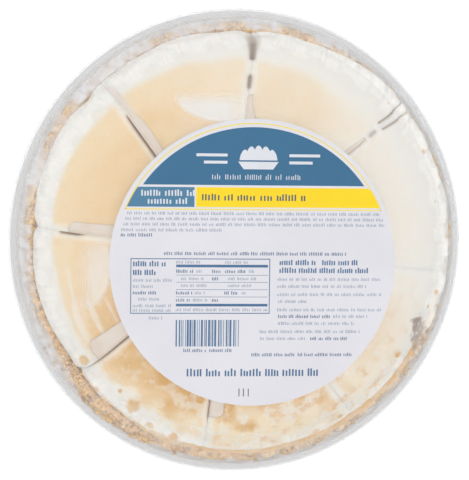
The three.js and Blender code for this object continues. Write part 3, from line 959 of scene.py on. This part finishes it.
LABEL_R = 76.5
LABEL_AT = (4.1, -8.6)
LABEL_SHEET = 0.3
LABEL_TURN = math.radians(-0.3)
LABEL_TOP = DOME_TOP_Z + LABEL_SHEET
INK = 0.03
# The cap's circle and straight edge, the band below it with the gap between its two fields, and
# the thin line round both.
CAP_R = 72.1
CAP_LOW = 41.3
BAND_TOP = 40.1
BAND_LOW = 29.6
BAND_GAP = (-31.8, -30.9)
LINE_R = 74.0
LINE_LOW = 28.4
LINE = 0.6


def on_label(x, y, height):
    """Points of the label's own plane, x to the right and y up, placed on the pack."""
    along, up = math.cos(LABEL_TURN), math.sin(LABEL_TURN)
    return np.stack(np.broadcast_arrays(
        LABEL_AT[0] + x * along - y * up, LABEL_AT[1] + x * up + y * along, height), axis=-1)


def print_finish(name, first, second, size=20):
    """Ink or paper whose tone drifts a little from one place to the next."""
    ink = Finish(name)
    drift = ink.noise(size, detail=3)
    return ink.body(
        Base_Color=ink.blend(paint(*first), paint(*second), drift.ramp(0.3, 0.7)),
        Roughness=0.42, Normal=ink.bump(ink.noise(0.5, detail=1), 0.02))


def disc(radius, low, high):
    """A flat round sheet with a straight edge."""
    turn = np.linspace(0, TURN, 241)
    reached = np.array([0, 0.3, 0.6, 0.9, 1.0])[:, None] * radius
    x, y = reached * np.cos(turn), reached * np.sin(turn)
    return [np.concatenate([on_label(x, y, high), on_label(x, y, low)[::-1]])]


def inked(x, low, high, layer=1):
    """A thin slab of ink over the columns at x, from low to high. A second layer lies on ink."""
    edges = np.stack([low, high])
    top = LABEL_TOP + INK * layer
    return slab(on_label(x, edges, top), on_label(x, edges, top - 1.5 * INK))


def field(left, right, low, high, radius, columns):
    """A field of ink between straight edges and inside a circle round the label's middle."""
    half = math.sqrt(radius ** 2 - low ** 2)
    x = np.linspace(*np.clip([left, right], -half, half), columns)
    top = np.minimum(np.sqrt(np.maximum(radius ** 2 - x ** 2, low ** 2)), high)
    return inked(x, np.full_like(x, low), top)


def arc(radius, width, start, end):
    """A thin arc of ink."""
    turn = np.linspace(start, end, 181)
    reached = np.array([radius - width / 2, radius + width / 2])[:, None]
    x, y = reached * np.cos(turn), reached * np.sin(turn)
    return slab(on_label(x, y, LABEL_TOP + INK), on_label(x, y, LABEL_TOP - INK))


def bars(boxes, layer=1):
    """Rectangles of ink, each given by its left, right, low and high edge."""
    grids = []
    for left, right, low, high in np.asarray(boxes, dtype=float):
        x = np.array([left, right])
        grids += inked(x, np.array([low, low]), np.array([high, high]), layer)
    return grids


def printed(name, grids, ink):
    """A piece of the label's print."""
    solid(name, grids, ink, flat=True)


label = solid("label_paper", disc(LABEL_R, DOME_TOP_Z, LABEL_TOP),
              print_finish("label_paper", (225, 224, 230), (221, 220, 226), 30), flat=True)
label.visible_shadow = False
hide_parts("label")

blue = print_finish("ink_blue", (48, 105, 142), (51, 108, 145), 30)
pale_blue = print_finish("ink_band_blue", (72, 124, 156), (78, 130, 161), 30)
yellow = print_finish("ink_yellow", (248, 212, 0), (251, 217, 6), 30)
thin_yellow = print_finish("ink_line_yellow", (240, 214, 84), (244, 222, 100), 30)
band_r = LINE_R - LINE / 2
line_half = math.sqrt(LINE_R ** 2 - LINE_LOW ** 2)
line_start = math.asin(LINE_LOW / LINE_R)
line = arc(LINE_R, LINE, line_start, math.pi - line_start)
line += bars([(-line_half, line_half, LINE_LOW - LINE / 2, LINE_LOW + LINE / 2)])
printed("print_cap", field(-CAP_R, CAP_R, CAP_LOW, LABEL_R, CAP_R, 121), blue)
printed("print_band_left", field(-LINE_R, BAND_GAP[0], BAND_LOW, BAND_TOP, band_r, 61), pale_blue)
printed("print_band_right", field(BAND_GAP[1], LINE_R, BAND_LOW, BAND_TOP, band_r, 61), yellow)
printed("print_line", line, thin_yellow)

# On the cap stands a plain pie seen from its side, between two pairs of bars. The same white
# ink makes the strokes of the rows below it and in the blue field.
EMBLEM = (2.0, 49.8)
PIE_HALF = 11.0
PIE_PAN = 4.0
PIE_GAP = 0.8
PIE_CROWN = 5.6
PIE_SCALLOP = 2.2
EMBLEM_BAR = 1.5
EMBLEM_BARS = ((-31, -14.5, 57.2), (-27, -14.5, 53.4), (18.5, 35, 57.2), (18.5, 31, 53.4))
# The rows are placed in pixels of the label's drawing: millimetres to a pixel, and its middle.
PX = 0.5311
MIDDLE_PX = (253.4, 263.05)


def label_y(pixel):
    """Height on the label of a pixel counted down from the drawing's top."""
    return (MIDDLE_PX[1] - pixel) * PX


def rows(places, height, stroke, gap, random):
    """Rows of small print as plain upright strokes, broken into words. Strokes vary in height
    and pitch and stand for no letters. A row's place is its left, right and middle in pixels."""
    boxes = []
    for left, right, middle in places:
        x, end = (left - MIDDLE_PX[0]) * PX, (right - MIDDLE_PX[0]) * PX
        low = label_y(middle) - height / 2
        while x < end:
            for _ in range(random.integers(3, 9)):
                tall = height * random.uniform(0.62, 1.0)
                boxes.append((x, x + stroke, low, low + tall))
                x += stroke + gap * random.uniform(0.7, 1.3)
                if x > end:
                    break
            x += 2.2 * gap
    return boxes


across = np.linspace(-1, 1, 61)
pan_top = EMBLEM[1] + PIE_PAN
scallops = PIE_SCALLOP * np.abs(np.sin((across + 1) * 2.5 * math.pi)) ** 0.8
pan_low = EMBLEM[1] + PIE_PAN * np.clip((np.abs(across) - 0.72) / 0.26, 0, 1)
emblem = inked(EMBLEM[0] + PIE_HALF * across, pan_low, 0 * across + pan_top, 2)
emblem += inked(
    EMBLEM[0] + (PIE_HALF - 0.9) * across, 0 * across + pan_top + PIE_GAP,
    pan_top + PIE_GAP + (PIE_CROWN + scallops) * (1 - across ** 2) ** 0.4, 2)
emblem += bars([(left, right, middle - EMBLEM_BAR / 2, middle + EMBLEM_BAR / 2)
                for left, right, middle in EMBLEM_BARS], 2)
random = np.random.default_rng(21)
white = rows([(211, 302, 176.8)], height=3.0, stroke=0.42, gap=0.8, random=random)
white += rows([(140.5, 192, 193.2), (147, 185, 201.2)], height=3.4, stroke=0.85, gap=0.75,
              random=random)
dark = rows([(201, 304, 197.2)], height=3.7, stroke=0.85, gap=0.85, random=random)
small = rows([
    (127, 382, 213.5), (125, 383.5, 219), (123, 385, 224.5), (121, 222.5, 230.2),
    (133, 171.5, 280.5), (133, 152.5, 286.6), (138.5, 159, 299.3), (133, 171.8, 306),
    (133, 171, 310.6), (196, 201, 271.4), (249, 256, 271.4), (181, 203, 278.8),
    (228, 258, 278.8), (181, 206, 285.7), (228, 251, 285.7), (195, 204, 293),
    (242, 246.4, 293), (193, 206.5, 300.2), (176, 267, 310), (176, 200, 262.2),
    (225, 248.5, 262.2), (149, 163, 318.3), (278, 382, 279.2), (278, 367.5, 286.3),
    (278, 384, 294.5), (279, 307.5, 301.5), (278, 383.5, 310), (335, 370, 316.6),
    (279, 356.5, 323.7), (260.5, 362.5, 332), (261, 309, 339),
], height=1.75, stroke=0.34, gap=0.46, random=random)
medium = rows([
    (120.5, 153, 235.3), (163.6, 348, 253.6), (133, 158, 293), (176, 193.5, 271.4),
    (212, 221, 271.4), (225, 245.5, 271.4), (212, 220.5, 278.8), (176, 191.5, 293),
    (224.5, 239, 293), (176, 190, 300.2), (212, 220.5, 300.2), (279, 332, 316.6),
    (312, 349.5, 339), (252.6, 295, 355.3), (299.5, 354, 355.3), (184, 206, 350.9),
    (210, 233, 350.9),
], height=1.9, stroke=0.5, gap=0.42, random=random)
bold = rows([
    (279.8, 315, 262.2), (323, 359.5, 262.2), (279.8, 370.5, 270.1), (133, 166, 263.9),
    (133, 154, 272.6),
], height=3.0, stroke=0.75, gap=0.5, random=random)
bold += rows([(187.5, 320, 373.2)], height=4.2, stroke=0.9, gap=0.75, random=random)

# A ruled table at the left, and below it a block of upright stripes that stand for no code.
TABLE = (-65.3, 9.0, -27.1, 2.3)
TABLE_RULE = 0.45
TABLE_COLUMN = (-41.1, 7.8)
TABLE_BARS = ((-2.4, -0.95), (-23.2, -21.8))
TABLE_LINE = 0.22
TABLE_LINES_PX = (275.4, 282.5, 289.9, 297.2)
STRIPES = (-41.1, -7.4, -44.6, -30.4)

left, right, low, high = TABLE
table = [
    (left, right, high - TABLE_RULE, high), (left, right, low, low + TABLE_RULE),
    (left, left + TABLE_RULE, low + TABLE_RULE, high - TABLE_RULE),
    (right - TABLE_RULE, right, low + TABLE_RULE, high - TABLE_RULE),
]
table += [(*TABLE_COLUMN, *edges) for edges in TABLE_BARS]
for pixel in TABLE_LINES_PX:
    y = label_y(pixel)
    table.append((*TABLE_COLUMN, y - TABLE_LINE / 2, y + TABLE_LINE / 2))
x, end, low, high = STRIPES
while x < end:
    wide = random.choice([0.35, 0.35, 0.7, 1.05])
    table.append((x, x + wide, low, high))
    x += wide + random.choice([0.35, 0.5, 0.7, 1.0])
code = rows([(240, 264.5, 392.4)], height=5.6, stroke=0.5, gap=2.6, random=random)

for name, ink, grids, first, second in (
    ("print_emblem", "ink_white", emblem + bars(white, 2), (222, 224, 230), (216, 219, 226)),
    ("print_name_row", "ink_dark", bars(dark, 2), (74, 88, 100), (84, 97, 108)),
    ("print_small_rows", "ink_small", bars(small), (136, 148, 170), (146, 157, 177)),
    ("print_medium_rows", "ink_medium", bars(medium), (94, 115, 146), (106, 125, 153)),
    ("print_bold_rows", "ink_bold", bars(bold), (70, 106, 146), (82, 116, 152)),
    ("print_table", "ink_table", bars(table), (66, 104, 144), (80, 116, 152)),
    ("print_code", "ink_black", bars(code), (84, 84, 90), (96, 96, 100)),
):
    printed(name, grids, print_finish(ink, first, second))


# ---------------------------------------------------------------------------- film
# A clear film is shrunk tight round the finished pack: it lies on the dome's ridge and flutes,
# runs from the skirt to the pan's base, and draws into fine creases where it gathers. It is so
# thin that the light which the pack bounces about passes it untouched.

FILM_GAP = 0.35
FILM_LOW = -0.06
FACES = 2 * FLUTES  # the sides of the flutes, each between two bends
FACE = 360 / FACES
# Round the pack, anticlockwise: how cloudy the film is, and between which heights.
VEIL = np.array([
    (0, 0.6, 39, 45), (30, 0.6, 39.5, 45.5), (48, 0.5, 41, 50), (60, 0.75, 44, 56),
    (84, 0.85, 44, 56), (94, 0.7, 44, 56), (106, 0.82, 44, 56), (130, 0.95, 44, 56),
    (160, 0.88, 44, 56), (190, 0.78, 44, 56), (205, 0.7, 44, 56), (216, 0.5, 43, 54),
    (226, 0.15, 38, 44), (245, 0.15, 37, 42), (300, 0.15, 37, 42), (318, 0.2, 38, 43),
    (335, 0.35, 39, 45), (350, 0.55, 39, 45),
])


def creased(radius, height, angle):
    """Creases that run outwards over the wall, deep where the film gathers and faint below."""
    gathered = smooth(99, 118, radius) * smooth(RIM_Z + 2, RIM_Z + 14, height)
    turn = angle + 0 * radius
    ring = np.stack([np.cos(turn) * 40, np.sin(turn) * 40, height * 0.08 + 0 * turn], axis=-1)
    crease = grain(ring, 1.15, 31) * 0.6 + grain(ring, 0.5, 32) * 0.4
    return radius + (0.35 * gathered + 0.04) * crease * (radius > 90), height + 0 * turn


def cloud_and_ridge_highlight(points):
    """How cloudy the film is: between VEIL's heights over the crust, where it clings to one face of
    a flute and hangs off the next; with it a pale line along the dome's ridge, which is painted
    highlight."""
    x, y, z = points[..., 0], points[..., 1], points[..., 2]
    angle = np.arctan2(y, x / OVAL)
    turned = np.degrees(angle) % 360
    ring = np.stack([np.cos(angle) * 120, np.sin(angle) * 120, z * 0.3], axis=-1)
    patchy = 0.85 + 0.5 * grain(ring, 2.6, 33)
    clings, level = np.random.default_rng(5).uniform(0, 1, (FACES, 2)).T
    level = np.where(clings < 0.55, 0.78 + 0.22 * level, 0.25 + 0.4 * level)
    bends = np.repeat(np.arange(FACES) * FACE, 2) + np.tile([0.9, FACE - 0.9], FACES)
    patchy = patchy * np.interp(turned, bends, np.repeat(level, 2), period=360)
    share, lowest, highest = at_angle(VEIL, turned)
    cloud_and_highlight = share * patchy * smooth(0, 3.5, z - lowest) * (1 - smooth(0, 4.5, z - highest))
    # Painted highlight: a pale wavering line along the dome's ridge, round the lower side of the
    # pack.
    radius = np.hypot(x / OVAL, y) + 0.8 * grain(ring, 11, 35)
    line = np.exp(-((radius - 101) / 0.5) ** 2) * (z > DOME_TOP_Z - 8)
    line = line * smooth(196, 206, turned) * (1 - smooth(318, 334, turned))
    cloud_and_highlight = np.maximum(cloud_and_highlight, 0.4 * line * smooth(-0.4, 0.5, grain(ring, 14, 36)))
    return np.clip(cloud_and_highlight, 0, 0.95)


film_line = np.concatenate([
    [(0, LABEL_TOP + FILM_GAP), (50, LABEL_TOP + FILM_GAP), (90, LABEL_TOP + FILM_GAP)],
    spaced(rounded([
        (DOME_CREST_R - 3, LABEL_TOP + FILM_GAP), (DOME_CREST_R + 0.4, DOME_TOP_Z + 1.0),
        (DOME_WALL_R - 18, RIM_Z + 41.6), (DOME_WALL_R - 12, RIM_Z + 35),
        (DOME_WALL_R - 8, RIM_Z + 26), (DOME_R + 0.2, RIM_Z + 1.6),
        (DOME_R + 0.5, RIM_Z - SKIRT_DROP - 0.4), (PAN_BASE_R + 1.2, 0.9),
        (PAN_BASE_R - 2, FILM_LOW),
    ], cut=2.0, steps=4), 90),
    [(60, FILM_LOW), (0, FILM_LOW)],
])
film_skin = spun(film_line, np.linspace(0, TURN, 1201), creased)
film_finish = clear_finish("film_clear", mirror=0.025, roughness=0.08, wide=1.0, depth=0.7,
                           scuffed=0.16, whitened=0.0, hazed=0.15)
film = solid("film_wrap", [film_skin], film_finish, tints={"veiled_and_highlighted": cloud_and_ridge_highlight(film_skin)})
film.visible_shadow = False
film.visible_diffuse = False


# ---------------------------------------------------------------------------- studio
# A plain pale floor under three broad soft lamps, and a camera almost straight above the pack.
# Sizes and places here are in metres.

FLOOR_HALF = 4.0
FLOOR_Z = -0.0004
floor_corners = [(-1, -1), (1, -1), (1, 1), (-1, 1)]
floor_mesh = bpy.data.meshes.new("floor")
floor_mesh.from_pydata(
    [(x * FLOOR_HALF, y * FLOOR_HALF, FLOOR_Z) for x, y in floor_corners], [], [(0, 1, 2, 3)])
floor = bpy.data.objects.new("floor", floor_mesh)
bpy.context.scene.collection.objects.link(floor)
floor_mesh.materials.append(Finish("floor_paint").body(
    Base_Color=(0.9, 0.9, 0.9, 1.0), Roughness=0.9, Emission_Color=(1.0, 1.0, 1.0, 1.0),
    Emission_Strength=0.5))


def softbox(name, place, aim, size, power):
    """A flat lamp that looks at a point. It stays out of the plastic's reflections."""
    lamp = bpy.data.lights.new(name, "AREA")
    lamp.shape = "RECTANGLE"
    lamp.size, lamp.size_y = size
    lamp.energy = power
    holder = bpy.data.objects.new(name, lamp)
    holder.location = place
    towards = np.array(aim) - place
    holder.rotation_euler = (
        math.atan2(math.hypot(towards[0], towards[1]), -towards[2]), 0,
        math.atan2(-towards[0], towards[1]))
    holder.visible_glossy = False
    bpy.context.scene.collection.objects.link(holder)


softbox("softbox_top", (-0.15, 0.1, 1.6), (0, 0, 0), size=(1.1, 1.1), power=14.0)
softbox("softbox_right", (0.9, 0.1, 1.5), (0.1, 0, 0), size=(1.4, 1.6), power=3)
softbox("softbox_left", (-1.3, -0.3, 1.2), (0, 0, 0), size=(1.4, 1.4), power=1.3)
world = bpy.data.worlds.new("studio")
world.use_nodes = True
world.node_tree.nodes["Background"].inputs["Color"].default_value = (1.0, 1.0, 1.0, 1.0)
world.node_tree.nodes["Background"].inputs["Strength"].default_value = 0.48
bpy.context.scene.world = world
bpy.context.scene.view_settings.view_transform = "Standard"

CAMERA_DISTANCE = 0.95
CAMERA_TILT = math.radians(7.2)
CAMERA_SIDE = np.array([-0.86, 0.51])
CAMERA_LENS = 130.7
aim = np.array([-0.0011, 0.0007, 0.029])
lean = math.sin(CAMERA_TILT) * CAMERA_SIDE / np.linalg.norm(CAMERA_SIDE)
back = np.array([*lean, math.cos(CAMERA_TILT)])
right = np.array([1.0, 0.0, 0.0]) - back[0] * back
right /= np.linalg.norm(right)
up = np.cross(back, right)
camera = bpy.data.objects.new("camera", bpy.data.cameras.new("camera"))
camera.data.sensor_fit = "HORIZONTAL"
camera.data.sensor_width = 36
camera.data.lens = CAMERA_LENS
place = aim + CAMERA_DISTANCE * back
camera.matrix_world = Matrix([*np.stack([right, up, back, place], axis=-1), (0, 0, 0, 1)])
bpy.context.scene.collection.objects.link(camera)
bpy.context.scene.camera = camera
